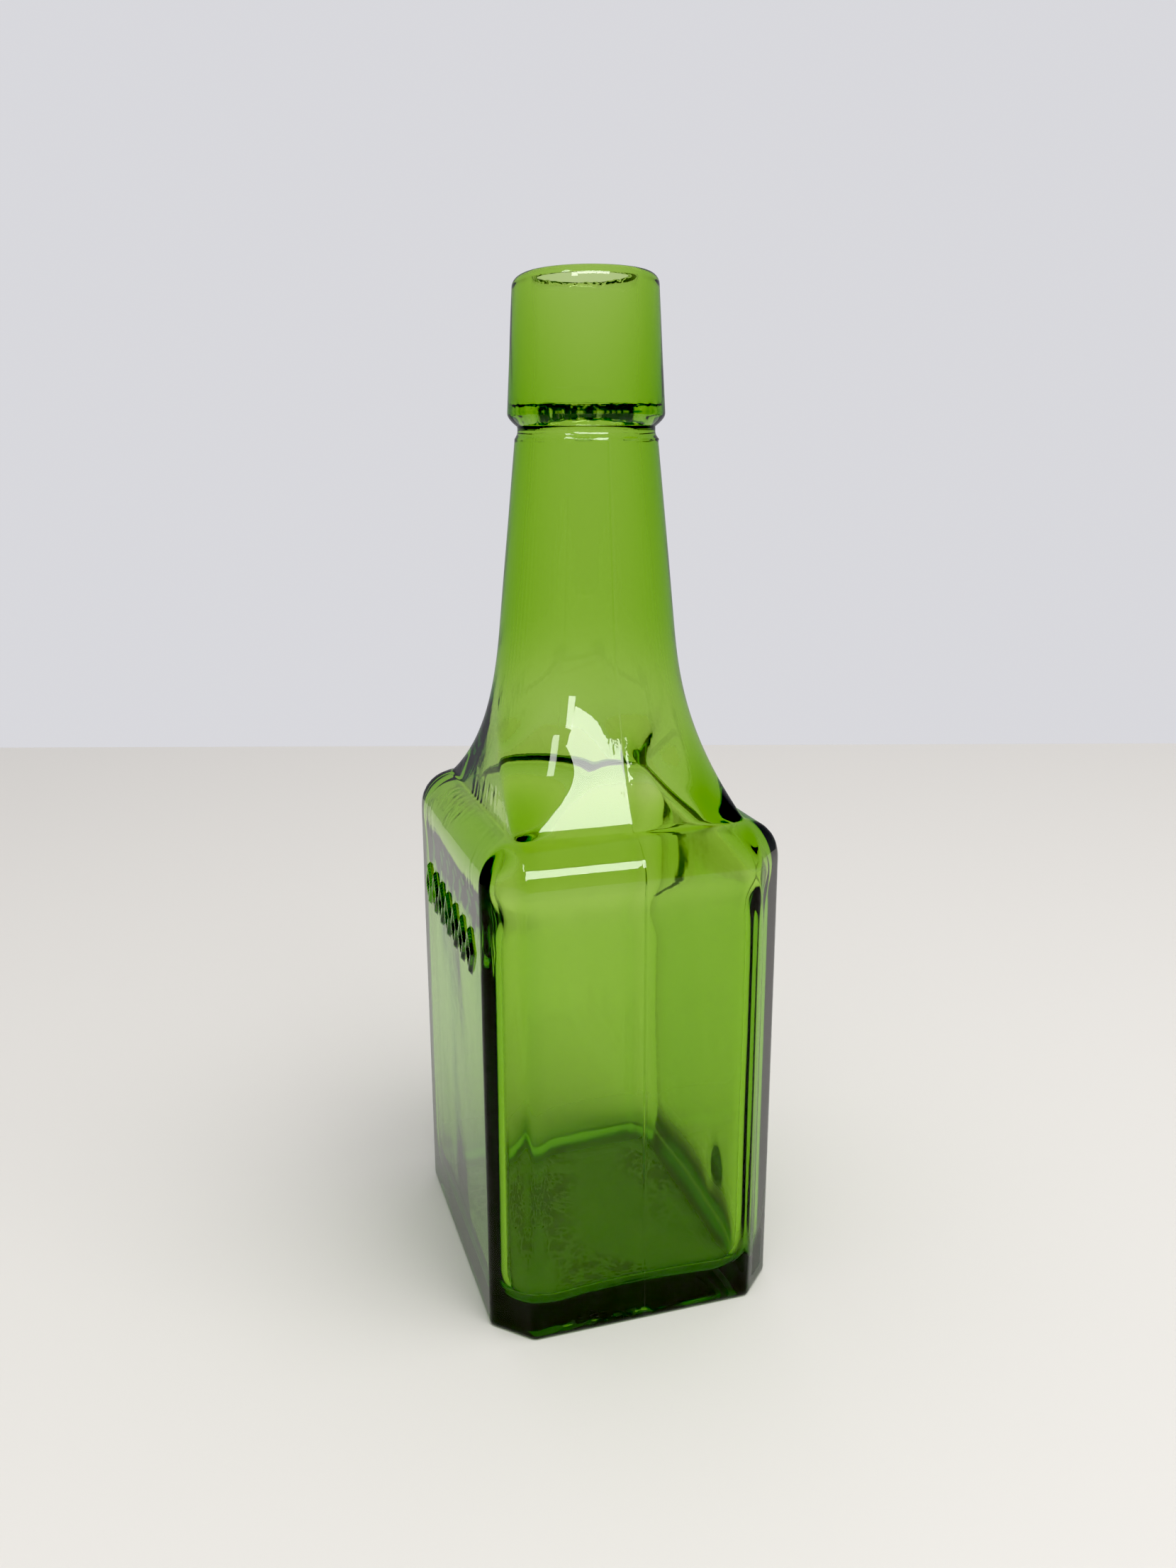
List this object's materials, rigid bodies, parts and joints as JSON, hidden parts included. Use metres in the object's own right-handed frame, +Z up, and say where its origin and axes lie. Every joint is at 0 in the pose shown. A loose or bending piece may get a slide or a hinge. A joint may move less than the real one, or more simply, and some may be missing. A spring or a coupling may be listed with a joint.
{
  "type": "glass bottle",
  "caption": "Green glass bottle with a chamfered rectangular body, flared square shoulder, long neck and a tall applied collar with a cork bore.",
  "frame": {"origin": "centre of the base, on the surface that the bottle stands on", "axes": "+Z up the neck, -Y towards the front panel, -X towards the ornamented side panel"},
  "size_m": [0.0658, 0.0794, 0.219],
  "materials": {
    "green_glass": "fire-polished transparent green, faint mould texture",
    "lip_glass": "hand-tooled transparent green, smooth"
  },
  "bodies": {
    "root": {"glass_body": "green_glass", "applied_lip": "lip_glass"}
  },
  "joints": []
}
